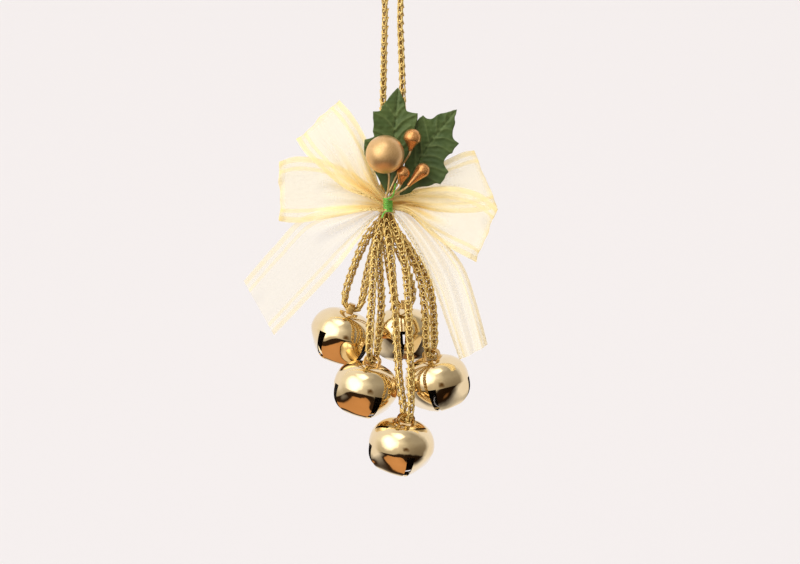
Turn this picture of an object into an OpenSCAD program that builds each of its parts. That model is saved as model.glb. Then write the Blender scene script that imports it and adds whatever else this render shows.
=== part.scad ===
// Christmas bell ornament: five jingle bells on doubled gold cords under an
// organza bow, with holly leaves, a pearl and three berries.
// +Z is up, the front faces -Y, and the origin is the crown of the hanging loop,
// where a hook bears. All lengths are in millimetres.

/* [Bells] */
// Outer diameter of a bell
bell_d = 25; // [24:0.5:25.5]
// Height of a bell from pole to crown
bell_h = 21; // [20:0.5:21.5]
// Thickness of the bell's sheet metal
shell_t = 0.5; // [0.4:0.1:0.8]
// Width of a slot at its square upper end
slot_top_w = 3.2; // [2.4:0.1:3.6]
// Width of a slot at the bottom pole
slot_pole_w = 1.8; // [1:0.1:2]
// Depth of the dip in the crown, round the lug
crown_dip = 1; // [0.5:0.1:1]
// Diameter of the pea inside a bell
pea_d = 6; // [5:0.5:7]
// Width of the strap lug, along its hole
lug_w = 2.6; // [2:0.2:3]
// Thickness of the strap lug
lug_t = 0.6; // [0.4:0.1:0.8]

/* [Cords] */
// Diameter of the knitted cord
cord_d = 2.5; // [2:0.1:2.6]
// Sides of a cord's tube
cord_sides = 8; // [8:1:12]

/* [Bow] */
// Depth that a folded loop takes at its middle
loop_depth = 5; // [3:0.5:6]

/* [Trim] */
// Thickness of a fabric leaf
leaf_t = 0.8; // [0.6:0.1:1]
// Diameter of the pearl
pearl_d = 14.7; // [13:0.1:15]
// Diameter of a stem wire
stem_d = 0.8; // [0.6:0.1:0.9]
// Diameter of the green binding wire
wire_d = 0.7; // [0.5:0.1:0.8]
// Turns of the green binding wire
wire_turns = 6; // [4:1:6]

/* [Hidden] */

gold = [0.86, 0.68, 0.36];
polished_gold = [0.88, 0.72, 0.42];
cream = [0.98, 0.93, 0.78];
leaf_green = [0.20, 0.32, 0.14];
copper_gold = [0.80, 0.52, 0.30];
wire_green = [0.30, 0.62, 0.22];

cord_r = cord_d / 2;
// Gap between parts that move against each other
play = 0.3;
// Radius of a cord where it is pinched at the neck
pinched_r = 0.8;

// ---- Bells ---------------------------------------------------------------
// A bell is made with its lug hole's centre at the origin, its crown below.
// The hole's centre stands this high over the dip, and this far under the strap
crown_drop = cord_r + play;
lug_rise = cord_r + 2 * play;
lug_inner_w = 5.4;
lug_foot = 1.4;
lug_foot_drop = 1.2;
slit_play = 0.2;
bell_r = bell_d / 2;
profile_power = 2.5;
profile_steps = 12;
crown_dip_r = 5;
// A slot's upper end and the end of its taper, above the bell's centre
slot_start = 0.6;
slot_taper_end = -0.4 * bell_h;
centre_drop = crown_drop + bell_h / 2 - crown_dip;

// Place of each bell: lug hole's centre, tilt [about X, about Y], turn of the
// lug's hole about Z, and turn of the slots about the bell's own axis
left_place = [[-16.4, 6, -134.8], [4, 19.4], 0, -35];
lower_left_place = [[-7.9, -8.5, -154.3], [8, 14], 66, 27];
right_place = [[14.8, -3.8, -152.1], [10, -11.7], 66, -12];
bottom_place = [[4.9, -17, -175.8], [16, 9.4], -64, 20];
back_place = [[4.3, 18.4, -134.2], [-6, 0], 0, -5];

// ---- Neck ----------------------------------------------------------------
binding_centre = [-2.4, 3];
binding_size = [6.4, 8];
binding_top = -91;
binding_bottom = -97.6;
// The growth of a cord's radius for each millimetre away from the binding
pinch_rate = 0.06;

// ---- Cord routes ---------------------------------------------------------
hanging_route = [
    [-3.6, 2.6, -90.9], [-4.1, 2, -80], [-3.9, 0.6, -58], [-3.4, 0, -36],
    [-3.1, 0, -15.5], [-5.2, 0, -4], [-3.7, 0, -0.2], [0, 0, 1.25],
    [3.7, 0, -0.2], [5.2, 0, -4], [3.1, 0, -15.5], [3.7, 0.4, -56],
    [2.6, 2, -80], [-0.8, 2.6, -90.9]
];
left_route = [
    [-4.2, 3.8, -98.8], [-6.6, 4.2, -102], [-11.2, 4.8, -109], [-15.4, 5.6, -119],
    [-18.4, 6, -128.5], [-18.5, 6, -132.8], [-16.4, 6, -134.8],
    [-13.6, 6, -134.6], [-12, 6, -131.6], [-10, 5.8, -121],
    [-7, 5.6, -110], [-5.2, 5.8, -104], [-4.2, 5.6, -98.8]
];
lower_left_route = [
    [-4.2, 0.2, -98.8], [-4.6, -0.8, -103], [-6.8, -3, -111], [-8.2, -8.2, -132],
    [-9.1, -12.2, -148], [-8.8, -10.8, -153.3], [-7.9, -8.5, -154.3], [-6.7, -6.4, -153.3],
    [-5.9, -5.5, -149.5], [-4.4, -3.6, -132], [-5.4, -0.4, -112], [-5.2, 1.6, -103],
    [-4.2, 2, -98.8]
];
right_route = [
    [-0.6, 2, -98.8], [0.4, 1.6, -103], [4, 0.6, -109], [10.2, -1.8, -122],
    [12.4, -5.4, -136], [12.7, -7.5, -147.5], [13.7, -6.1, -151.7],
    [14.8, -3.8, -152.1], [15.5, -1.9, -150.8], [15.9, -0.9, -146.5],
    [13.6, 0.8, -124], [5.4, 3.2, -110], [0.4, 4.2, -103], [-0.6, 3.8, -98.8]
];
bottom_route = [
    [-2.4, 0.2, -98.8], [-2.2, -1.4, -103], [-1, -3.8, -112], [0.6, -10.4, -135],
    [2.4, -14.9, -160], [3.9, -14.8, -170.5], [4.1, -15.2, -174.1],
    [4.9, -17, -175.8], [6, -19.4, -175.6], [6.6, -20.8, -172.4],
    [6.4, -15.8, -150], [4.6, -5.6, -117], [1.4, -1.6, -104], [-0.6, 0.2, -98.8]
];
back_route = [
    [-2.4, 3.8, -98.8], [-2.6, 4.6, -103], [-2.2, 7.8, -112], [-1, 14, -122],
    [0.5, 18.2, -129], [1.8, 18.5, -133.3], [4.3, 18.4, -134.2],
    [6.8, 18.5, -133.3], [7.6, 18, -128.6], [5.4, 13.4, -119.5],
    [2, 9.4, -111.5], [-1, 7, -103.5], [-2.4, 5.6, -98.8]
];

// ---- Ribbons -------------------------------------------------------------
// Stations along each ribbon from left to right:
// [upper edge's point, lower edge's point, thickness along Y]
upper_stations = [
    [[-20.4, -4, -53.9], [-37, -4, -69.7], 1.2],
    [[-12.7, -6.5, -70.7], [-22.2, -6.5, -80.6], loop_depth],
    [[-5, -4.6, -87.5], [-7.5, -4.6, -90.5], 1.6],
    [[-1.9, -4.05, -91.5], [-1.9, -4.05, -97], 1.1],
    [[3.5, -4.8, -94], [3, -4.8, -98.5], 1.6],
    [[21, -7.2, -95.2], [15.5, -7.2, -107.5], loop_depth],
    [[40, -6, -96.3], [31.2, -6, -116.3], 1.2]
];
lower_stations = [
    [[-43.5, -4.5, -77.8], [-43.1, -4.5, -100.5], 1.2],
    [[-24, -6, -83], [-24, -6, -98.5], loop_depth],
    [[-6.5, -3, -92.5], [-6.5, -3, -98], 1],
    [[-1.9, -2.85, -91.5], [-1.9, -2.85, -97], 1.1],
    [[3, -2.6, -90], [4.5, -2.6, -94.5], 1],
    [[15, -0.6, -81.5], [20, -0.6, -95], loop_depth],
    [[30.8, 0.5, -73.2], [40, 0.5, -95.1], 1.2]
];
tail_stations = [
    [[-57, -10, -123.2], [-45.4, -10, -144], 0.8],
    [[-34, -2.6, -99], [-20.4, -2.6, -117.4], 0.8],
    [[-8, -1.7, -95], [-6.5, -1.7, -98.2], 0.9],
    [[-1.9, -1.65, -91.5], [-1.9, -1.65, -97], 0.9],
    [[4.5, -1.7, -96], [3, -1.7, -99.5], 0.9],
    [[26.6, -4, -116.3], [15.4, -4, -125.1], 0.8],
    [[36.2, -12, -147.5], [25.4, -12, -153.5], 0.8]
];

// ---- Leaves, beads and stems ---------------------------------------------
// Front faces of the leaves
upper_leaf_y = -7.6;
right_leaf_y = -6.4;
upper_leaf_outline = [
    [2, -49.5], [-2, -54], [-4, -56.5], [-4.5, -59], [-7.5, -58.8], [-7.7, -61.5],
    [-7.3, -63.8], [-7.6, -66], [-7.1, -68.2], [-10.8, -69.3], [-11.2, -72],
    [-10.8, -74.7], [-8.9, -78.5], [-6.7, -82], [-2.8, -89.3], [-0.8, -89.3],
    [2.7, -81], [5.8, -73], [7.3, -67.4], [9.2, -62], [9.5, -59.5], [6.9, -59],
    [5.5, -58.8], [4.8, -55.8]
];
right_leaf_outline = [
    [11.5, -60], [14.5, -61.6], [17.2, -59.7], [24.4, -58], [23.2, -61.4],
    [23.8, -62.9], [22.9, -66.1], [23.1, -68.8], [25.1, -70.8], [22.7, -74.3],
    [21.4, -74.8], [19.4, -78.2], [21.2, -81.7], [19.8, -83.8], [18.1, -86.2],
    [15.4, -86.2], [13.5, -87], [11, -87.4], [8.6, -87.8], [6, -90], [2.7, -90.5],
    [4.6, -84.7], [6.9, -77], [8.1, -69.3], [9.5, -62]
];
// The stems run down through the green wire in a ring of six
wrap_centre = [-1.9, -7.2];
wrap_top = -91.6;
wrap_bottom = -97;
stem_r = stem_d / 2;
stem_ring_r = stem_d + 0.06;
wrap_r = stem_ring_r + stem_r + wire_d / 2 + 0.05;
bore_r = stem_r + 0.06;
bead_grip = 3;
pearl_centre = [-3, -15.4, -75];
pearl_bore_end = [-1.4, -14.2, -83.4];
// Each berry: round end's centre, point's end, radius of the round end
berry_tip_r = 0.8;
upper_berry_form = [[7.4, -11.6, -68.6], [6.6, -11.2, -73.6], 3.4];
middle_berry_form = [[3.9, -11.6, -82], [2.8, -11.2, -86.4], 2.6];
right_berry_form = [[11.3, -11, -81], [5.8, -10.6, -86.9], 2.8];

// ---- Functions -----------------------------------------------------------
function unit(v) = v / norm(v);
function along(route, i) =
    unit(route[min(i + 1, len(route) - 1)] - route[max(i - 1, 0)]);
// A ring of points round p, square to t, turned so that it never twists past ref
function ring(p, t, ref, r, sides) =
    let (a = unit(cross(t, ref)), b = cross(a, t))
    [for (k = [0:sides - 1]) p + r * (cos(360 * k / sides) * a + sin(360 * k / sides) * b)];
function cord_ring_r(z) =
    min(cord_r, pinched_r + pinch_rate * max(z - binding_top, binding_bottom - z));
function station_ring(s) =
    let (half = [0, s[2] / 2, 0]) [s[0] - half, s[0] + half, s[1] + half, s[1] - half];
function stem_slot(k) =
    [wrap_centre[0] + stem_ring_r * cos(60 * k), wrap_centre[1] + stem_ring_r * sin(60 * k)];
function superellipse(a, b, t) =
    [a * pow(cos(t), 2 / profile_power),
     b * sign(sin(t)) * pow(abs(sin(t)), 2 / profile_power)];
// The crown is pressed in a little round the axis
function dipped(p) =
    [p.x, p.y > 0 && p.x < crown_dip_r ? p.y - crown_dip * pow(1 - pow(p.x / crown_dip_r, 2), 2) : p.y];
function half_profile(a, b) =
    [for (i = [-profile_steps:profile_steps]) dipped(superellipse(a, b, 90 * i / profile_steps))];

// ---- Helpers -------------------------------------------------------------
// One closed solid through rings that all have the same number of points
module skin(rings) {
    sides = len(rings[0]);
    last = (len(rings) - 1) * sides;
    polyhedron(
        points = [for (r = rings) each r],
        faces = concat(
            [[for (k = [sides - 1:-1:0]) k], [for (k = [0:sides - 1]) last + k]],
            [for (i = [0:len(rings) - 2], k = [0:sides - 1], half = [0, 1])
                let (a = i * sides + k, b = i * sides + (k + 1) % sides)
                half == 0 ? [a, b, b + sides] : [a, b + sides, a + sides]]));
}

module cord(route, ref) {
    skin([for (i = [0:len(route) - 1])
        ring(route[i], along(route, i), ref, cord_ring_r(route[i].z), cord_sides)]);
}

module wire(route, r, ref) {
    skin([for (i = [0:len(route) - 1]) ring(route[i], along(route, i), ref, r, 6)]);
}

module ribbon(stations) {
    skin([for (s = stations) station_ring(s)]);
}

// A stem from its piece down through the green wire
module stem(route, k) {
    slot = stem_slot(k);
    wire(concat(route, [[slot[0], slot[1], wrap_top + 0.6], [slot[0], slot[1], wrap_bottom - 0.4]]),
        stem_r, [1, 0.2, 0]);
}

module leaf(outline, front_y) {
    translate([0, front_y + leaf_t, 0])
        rotate([90, 0, 0])
            linear_extrude(leaf_t)
                polygon(outline);
}

// Turns +Z to point from a to b, at a
module aim(a, b) {
    d = b - a;
    translate(a)
        rotate([0, acos(d.z / norm(d)), atan2(d.y, d.x)])
            children();
}

module berry(form) {
    r = form[2];
    reach = norm(form[1] - form[0]);
    aim(form[0], form[1])
        difference() {
            rotate_extrude($fn = 48)
                polygon(concat(
                    [for (t = [-90:15:30]) [r * cos(t), r * sin(t)]],
                    [[berry_tip_r, reach], [0, reach]]));
            translate([0, 0, reach - bead_grip])
                cylinder(h = bead_grip + 1, r = bore_r, $fn = 24);
        }
}

// The stem's start inside a berry's point
function berry_root(form) =
    let (d = unit(form[1] - form[0])) [form[1] - (bead_grip - 0.5) * d, form[1] + 0.8 * d];

module place_bell(place) {
    translate(place[0])
        rotate([place[1][0], place[1][1], 0])
            children();
}

module slot_cutter() {
    top = slot_top_w / 2;
    low = slot_pole_w / 2;
    rotate([90, 0, 90])
        linear_extrude(bell_d)
            polygon([
                [-top, slot_start], [top, slot_start], [low, slot_taper_end],
                [low, -bell_h], [-low, -bell_h], [-low, slot_taper_end]]);
}

module shell(place) {
    place_bell(place)
        difference() {
            translate([0, 0, -centre_drop])
                difference() {
                    rotate_extrude($fn = 64)
                        polygon(half_profile(bell_r, bell_h / 2));
                    rotate_extrude($fn = 64)
                        polygon(half_profile(bell_r - shell_t, bell_h / 2 - shell_t));
                    for (k = [0:3])
                        rotate([0, 0, place[3] + 90 * k])
                            slot_cutter();
                }
            // Slits for the lug's legs
            rotate([0, 0, place[2]])
                for (side = [-1, 1])
                    translate([0, side * (lug_inner_w + lug_t) / 2, -crown_drop])
                        cube([lug_w + slit_play, lug_t + slit_play, 4 * shell_t], center = true);
        }
}

module arch(half_w, top, low, corner) {
    translate([-half_w, low])
        square([2 * half_w, top - corner - low]);
    translate([corner - half_w, low])
        square([2 * (half_w - corner), top - low]);
    for (side = [-1, 1])
        translate([side * (half_w - corner), top - corner])
            circle(r = corner, $fn = 32);
}

// The strap lug: its hole runs along X, and its feet are bent outward
// under the crown
module lug(place) {
    foot_z = -crown_drop - shell_t - lug_foot_drop;
    inner = lug_inner_w / 2;
    place_bell(place)
        rotate([90, 0, 90 + place[2]])
            linear_extrude(lug_w, center = true) {
                difference() {
                    arch(inner + lug_t, lug_rise + lug_t, foot_z, 1.8);
                    translate([0, -1])
                        arch(inner, lug_rise + 1, foot_z, 1.2);
                }
                for (side = [-1, 1])
                    translate([side * (inner + lug_t + lug_foot / 2), foot_z + lug_t / 2])
                        square([lug_foot, lug_t], center = true);
            }
}

module pea(place) {
    place_bell(place)
        translate([0, 0, -centre_drop - bell_h / 2 + shell_t + play + pea_d / 2])
            sphere(d = pea_d, $fn = 48);
}

// ---- Sub-parts -----------------------------------------------------------
module hanging_loop() {
    color(gold) cord(hanging_route, [0, 1, 0]);
}
module cord_binding() {
    color(gold)
        translate([binding_centre[0], binding_centre[1], binding_bottom])
            linear_extrude(binding_top - binding_bottom) {
                corner = 2;
                square([binding_size[0], binding_size[1] - 2 * corner], center = true);
                square([binding_size[0] - 2 * corner, binding_size[1]], center = true);
                for (x = [-1, 1], y = [-1, 1])
                    translate([x * (binding_size[0] / 2 - corner), y * (binding_size[1] / 2 - corner)])
                        circle(r = corner, $fn = 32);
            }
}
module upper_ribbon() {
    color(cream) ribbon(upper_stations);
}
module lower_ribbon() {
    color(cream) ribbon(lower_stations);
}
module tail_ribbon() {
    color(cream) ribbon(tail_stations);
}
module upper_leaf() {
    color(leaf_green) leaf(upper_leaf_outline, upper_leaf_y);
}
module right_leaf() {
    color(leaf_green) leaf(right_leaf_outline, right_leaf_y);
}
// The leaves' wires are glued along their backs
module leaf_stems() {
    color(wire_green) {
        stem([[0.4, upper_leaf_y + leaf_t + stem_r + 0.05, -72], [-2, -6.3, -88]], 2);
        stem([[12, right_leaf_y + leaf_t + stem_r + 0.05, -75], [2.4, -5.1, -88.6]], 1);
    }
}
module pearl() {
    color(copper_gold)
        difference() {
            translate(pearl_centre)
                sphere(d = pearl_d, $fn = 64);
            aim(pearl_centre, pearl_bore_end)
                translate([0, 0, pearl_d / 2 - bead_grip])
                    cylinder(h = bead_grip + 1, r = bore_r, $fn = 24);
        }
}
module pearl_stem() {
    d = unit(pearl_bore_end - pearl_centre);
    color(gold)
        stem([pearl_centre + (pearl_d / 2 - bead_grip + 0.5) * d, pearl_centre + (pearl_d / 2 + 1) * d,
            [-1.8, -10.6, -88.4]], 4);
}
module upper_berry() {
    color(copper_gold) berry(upper_berry_form);
}
module middle_berry() {
    color(copper_gold) berry(middle_berry_form);
}
module right_berry() {
    color(copper_gold) berry(right_berry_form);
}
module berry_stems() {
    color(gold) {
        stem(concat(berry_root(upper_berry_form), [[3, -8.6, -80], [-1.4, -8.3, -89]]), 3);
        stem(concat(berry_root(middle_berry_form), [[0.6, -9.8, -89.4]]), 5);
        stem(concat(berry_root(right_berry_form), [[1.4, -8.4, -89.8]]), 0);
    }
}
module green_wire() {
    steps = 10;
    coil = [for (i = [0:wire_turns * steps])
        let (turn = i / steps)
        [wrap_centre[0] + wrap_r * cos(360 * turn - 120),
         wrap_centre[1] + wrap_r * sin(360 * turn - 120),
         wrap_bottom + wire_d / 2 + turn * (wrap_top - wrap_bottom - wire_d) / wire_turns]];
    color(wire_green)
        wire(concat([[-4.2, -9, -99.2], [-3.6, -9.1, -97.6]], coil, [[-0.2, -10.4, -91], [1, -12.6, -86]]),
            wire_d / 2, [0.1, 0, 1]);
}
module left_cord() {
    color(gold) cord(left_route, [0, 1, 0]);
}
module lower_left_cord() {
    color(gold) cord(lower_left_route, [-0.9, 0.44, 0]);
}
module right_cord() {
    color(gold) cord(right_route, [-0.9, 0.44, 0]);
}
module bottom_cord() {
    color(gold) cord(bottom_route, [0.9, 0.44, 0]);
}
module back_cord() {
    color(gold) cord(back_route, [0, 1, 0.2]);
}

hanging_loop();
cord_binding();
upper_ribbon();
lower_ribbon();
tail_ribbon();
upper_leaf();
right_leaf();
leaf_stems();
pearl();
pearl_stem();
upper_berry();
middle_berry();
right_berry();
berry_stems();
green_wire();
left_cord();
color(polished_gold) shell(left_place);  // left_shell
color(polished_gold) lug(left_place);  // left_lug
color("silver") pea(left_place);  // left_pea
lower_left_cord();
color(polished_gold) shell(lower_left_place);  // lower_left_shell
color(polished_gold) lug(lower_left_place);  // lower_left_lug
color("silver") pea(lower_left_place);  // lower_left_pea
right_cord();
color(polished_gold) shell(right_place);  // right_shell
color(polished_gold) lug(right_place);  // right_lug
color("silver") pea(right_place);  // right_pea
bottom_cord();
color(polished_gold) shell(bottom_place);  // bottom_shell
color(polished_gold) lug(bottom_place);  // bottom_lug
color("silver") pea(bottom_place);  // bottom_pea
back_cord();
color(polished_gold) shell(back_place);  // back_shell
color(polished_gold) lug(back_place);  // back_lug
color("silver") pea(back_place);  // back_pea
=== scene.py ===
"""The looks of a christmas bell ornament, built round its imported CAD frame.

Lengths are written in millimetres and turned into metres by MM."""
import math
import random

import bmesh
import bpy
import numpy as np
from mathutils import Matrix, Vector
from mathutils.geometry import delaunay_2d_cdt


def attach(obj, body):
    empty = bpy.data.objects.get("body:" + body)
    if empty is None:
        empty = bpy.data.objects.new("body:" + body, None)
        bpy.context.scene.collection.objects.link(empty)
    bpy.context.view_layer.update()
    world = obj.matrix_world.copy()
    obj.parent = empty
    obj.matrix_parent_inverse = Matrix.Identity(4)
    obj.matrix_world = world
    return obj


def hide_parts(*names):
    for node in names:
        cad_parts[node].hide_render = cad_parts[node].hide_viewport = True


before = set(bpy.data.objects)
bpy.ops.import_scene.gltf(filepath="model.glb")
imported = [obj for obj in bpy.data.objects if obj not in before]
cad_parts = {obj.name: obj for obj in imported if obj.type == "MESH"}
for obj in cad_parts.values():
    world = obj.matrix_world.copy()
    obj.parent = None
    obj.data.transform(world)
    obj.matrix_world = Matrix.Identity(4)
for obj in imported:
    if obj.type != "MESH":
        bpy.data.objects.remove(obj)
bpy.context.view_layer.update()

MM = 0.001
scene = bpy.context.scene
scene.view_settings.view_transform = "Standard"


# ---- Camera ----------------------------------------------------------------
VIEW_CENTRE = (2.7, 0, -124)
VIEW_WIDTH = 308
CAMERA_DISTANCE = 1200
CAMERA_ELEVATION = math.radians(2)

camera = bpy.data.objects.new("camera", bpy.data.cameras.new("camera"))
scene.collection.objects.link(camera)
scene.camera = camera
back = Vector((0, -math.cos(CAMERA_ELEVATION), math.sin(CAMERA_ELEVATION)))
camera.location = (Vector(VIEW_CENTRE) + back * CAMERA_DISTANCE) * MM
camera.rotation_mode = "QUATERNION"
camera.rotation_quaternion = (-back).to_track_quat("-Z", "Y")
camera.data.sensor_width = 36
camera.data.lens = 36 * CAMERA_DISTANCE / VIEW_WIDTH
camera.data.clip_start, camera.data.clip_end = 0.01, 20


# ---- Mesh helpers ----------------------------------------------------------
def unit(v):
    return v / np.maximum(np.linalg.norm(v, axis=-1, keepdims=True), 1e-12)


def between(t, u, i, j, p, q):
    """The point at u, between p at t[i] and q at t[j]."""
    return (t[j] - u) / (t[j] - t[i]) * p + (u - t[i]) / (t[j] - t[i]) * q


def smooth_line(points, step):
    """A Catmull-Rom line through the points, with points about step apart."""
    p = np.array(points, float)
    ends = [2 * p[0] - p[1], *p, 2 * p[-1] - p[-2]]
    out = []
    for i in range(len(p) - 1):
        # centripetal knots keep uneven spacing from making loops
        t = [0.0]
        for k in range(i, i + 3):
            t.append(t[-1] + max(np.linalg.norm(ends[k + 1] - ends[k]), 1e-6) ** 0.5)
        for u in np.linspace(t[1], t[2], 24, endpoint=False):
            a, b, c = (between(t, u, k, k + 1, ends[i + k], ends[i + k + 1]) for k in range(3))
            out.append(between(t, u, 1, 2, between(t, u, 0, 2, a, b), between(t, u, 1, 3, b, c)))
    out.append(p[-1])
    return respaced(np.array(out), step)


def lengths_along(line):
    return np.concatenate([[0], np.cumsum(np.linalg.norm(np.diff(line, axis=0), axis=1))])


def respaced(line, step):
    along = lengths_along(line)
    at = np.linspace(0, along[-1], max(2, math.ceil(along[-1] / step) + 1))
    return np.stack([np.interp(at, along, line[:, k]) for k in range(line.shape[1])], axis=1)


def frames(line, ref):
    """Two sides square to a line at each point, turned as little as possible."""
    tangent = unit(np.gradient(line, axis=0))
    side = np.zeros_like(line)
    v = np.array(ref, float)
    for i, t in enumerate(tangent):
        v = v - t * (v @ t)
        v = v / max(np.linalg.norm(v), 1e-9)
        side[i] = v
    return side, np.cross(tangent, side)


def make(name, verts, faces, uvs=None):
    """A smooth-shaded mesh object from millimetre points. uvs are per point."""
    mesh = bpy.data.meshes.new(name)
    faces = [tuple(map(int, f)) for f in faces]
    mesh.from_pydata((np.array(verts, float) * MM).tolist(), [], faces)
    mesh.validate()
    if uvs is not None:
        layer = mesh.uv_layers.new(name="UVMap")
        loops = np.zeros(len(mesh.loops), np.int32)
        mesh.loops.foreach_get("vertex_index", loops)
        layer.data.foreach_set("uv", np.array(uvs, np.float32)[loops].ravel())
    mesh.shade_smooth()
    obj = bpy.data.objects.new(name, mesh)
    scene.collection.objects.link(obj)
    return obj


def turn_outward(mesh, to_front=False):
    """Makes the faces' sides agree, and turns an open sheet's towards the front."""
    bm = bmesh.new()
    bm.from_mesh(mesh)
    bmesh.ops.recalc_face_normals(bm, faces=bm.faces)
    if to_front and sum(f.normal.y for f in bm.faces) > 0:
        bmesh.ops.reverse_faces(bm, faces=bm.faces)
    bm.to_mesh(mesh)
    bm.free()


def paint_mask(obj, name, values):
    """Stores a number for each point, which a material reads by its name."""
    mask = obj.data.attributes.new(name, "FLOAT", "POINT")
    mask.data.foreach_set("value", values.ravel().astype(np.float32))


def paint_faces(obj, first, second, is_second):
    """Gives each face the first or the second material."""
    obj.data.materials.append(first)
    obj.data.materials.append(second)
    obj.data.polygons.foreach_set("material_index", np.asarray(is_second, np.int32))


class Parts:
    """Gathers grids of points into one mesh."""

    def __init__(self):
        self.verts, self.faces, self.uvs = [], [], []

    def grid(self, points, wrap=False, caps=False, uv=None, closed=False):
        """Rows of points. wrap joins each row's ends, closed the last row to the first."""
        rows, cols = points.shape[:2]
        base = len(self.verts)
        self.verts += points.reshape(-1, 3).tolist()
        r = np.arange(rows if closed else rows - 1)[:, None] * cols
        c = np.arange(cols if wrap else cols - 1)[None, :]
        n, m = (c + 1) % cols, (r + cols) % (rows * cols)
        corners = np.stack([r + c, m + c, m + n, r + n] if closed else [r + c, r + n, m + n, m + c], -1)
        self.faces += (corners.reshape(-1, 4) + base).tolist()
        if uv is None:
            u, v = np.meshgrid(np.linspace(0, 1, cols), np.arange(rows) * 0.5)
            uv = np.stack([u, v], -1)
        self.uvs += uv.reshape(-1, 2).tolist()
        if caps:
            self.faces.append(list(range(base + cols - 1, base - 1, -1)))
            self.faces.append([base + (rows - 1) * cols + k for k in range(cols)])

    def tube(self, line, radius, sides, ref, closed=False):
        """A round tube along a line. radius is a number or one number a point."""
        if closed:
            tangent = unit(np.roll(line, -1, 0) - np.roll(line, 1, 0))
            a = unit(np.cross(tangent, np.broadcast_to(ref, line.shape)))
            b = np.cross(tangent, a)
        else:
            a, b = frames(line, ref)
        turn = np.arange(sides) * 2 * math.pi / sides
        r = np.broadcast_to(np.asarray(radius, float).reshape(-1, 1, 1), (len(line), 1, 1))
        ring = np.cos(turn)[None, :, None] * a[:, None] + np.sin(turn)[None, :, None] * b[:, None]
        points = line[:, None] + r * ring
        along = np.broadcast_to(lengths_along(line)[:, None], (len(line), sides))
        uv = np.stack([np.broadcast_to(turn / (2 * math.pi), along.shape), along], -1)
        self.grid(points, wrap=True, caps=not closed, uv=uv, closed=closed)

    def object(self, name):
        return make(name, self.verts, self.faces, self.uvs)


def finish_piece(obj, body, slot, material, *replaced):
    if not obj.data.materials:
        obj.data.materials.append(material)
    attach(obj, body)
    if replaced:
        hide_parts(*replaced)


# ---- Materials -------------------------------------------------------------
class Nodes:
    """Short names for node work in a material or the world."""

    def __init__(self, owner):
        owner.use_nodes = True
        self.owner, self.tree = owner, owner.node_tree
        self.tree.nodes.clear()

    def add(self, kind, **fields):
        node = self.tree.nodes.new(kind)
        for key, value in fields.items():
            setattr(node, key, value)
        return node

    def link(self, a, b):
        self.tree.links.new(a, b)

    def put(self, node, name, value):
        """Sets a socket, or links it when the value is a socket."""
        target = node.inputs[name]
        if isinstance(value, bpy.types.NodeSocket):
            self.link(value, target)
        else:
            target.default_value = value

    def coords(self, kind="Object"):
        return self.add("ShaderNodeTexCoord").outputs[kind]

    def axes(self, vector):
        node = self.add("ShaderNodeSeparateXYZ")
        self.link(vector, node.inputs[0])
        return node.outputs

    def attribute(self, name):
        return self.add("ShaderNodeAttribute", attribute_name=name).outputs["Fac"]

    def noise(self, scale, detail=3, rough=0.55, vector=None, stretch=None):
        node = self.add("ShaderNodeTexNoise")
        self.put(node, "Scale", scale)
        self.put(node, "Detail", detail)
        self.put(node, "Roughness", rough)
        vector = vector or self.coords()
        if stretch:
            mapping = self.add("ShaderNodeMapping")
            self.link(vector, mapping.inputs["Vector"])
            mapping.inputs["Scale"].default_value = stretch
            vector = mapping.outputs[0]
        self.link(vector, node.inputs["Vector"])
        return node.outputs["Fac"]

    def ramp(self, fac, *stops):
        node = self.add("ShaderNodeValToRGB")
        self.link(fac, node.inputs["Fac"])
        elements = node.color_ramp.elements
        while len(elements) < len(stops):
            elements.new(0.5)
        for element, (at, colour) in zip(elements, stops):
            element.position = at
            element.color = (*colour, 1) if hasattr(colour, "__len__") else (colour,) * 3 + (1,)
        return node.outputs["Color"]

    def math(self, operation, a, b=0.0, clamp=False):
        node = self.add("ShaderNodeMath", operation=operation, use_clamp=clamp)
        self.put(node, 0, a)
        self.put(node, 1, b)
        return node.outputs[0]

    def vector(self, operation, *values, out=0):
        node = self.add("ShaderNodeVectorMath", operation=operation)
        for i, value in enumerate(values):
            self.put(node, i, value)
        return node.outputs[out]

    def blend(self, fac, a, b):
        """A blend of two shaders' outputs."""
        node = self.add("ShaderNodeMixShader")
        for i, value in enumerate((fac, a, b)):
            self.put(node, i, value)
        return node.outputs[0]

    def mix(self, fac, a, b, blend="MIX"):
        node = self.add("ShaderNodeMix", data_type="RGBA", blend_type=blend)
        self.put(node, "Factor", fac)
        for i, value in ((6, a), (7, b)):
            if hasattr(value, "__len__") and not isinstance(value, bpy.types.NodeSocket):
                value = (*value, 1)
            self.put(node, i, value)
        return node.outputs[2]

    def span(self, fac, low, high, start=0.0):
        """Stretches start to 1 over low to high."""
        node = self.add("ShaderNodeMapRange")
        for name, value in (("Value", fac), ("From Min", start), ("To Min", low), ("To Max", high)):
            self.put(node, name, value)
        return node.outputs[0]

    def bump(self, height, strength, distance, under=None):
        node = self.add("ShaderNodeBump")
        self.put(node, "Height", height)
        node.inputs["Strength"].default_value = strength
        node.inputs["Distance"].default_value = distance
        if under:
            self.link(under, node.inputs["Normal"])
        return node.outputs[0]


class Paint(Nodes):
    """A material with a Principled shader."""

    def __init__(self, name, **sockets):
        super().__init__(bpy.data.materials.new(name))
        self.out = self.add("ShaderNodeOutputMaterial")
        self.shader = self.add("ShaderNodeBsdfPrincipled")
        self.link(self.shader.outputs[0], self.out.inputs["Surface"])
        self.shade(**sockets)

    def shade(self, **sockets):
        for key, value in sockets.items():
            self.put(self.shader, key.replace("_", " "), value)
        return self.owner


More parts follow.
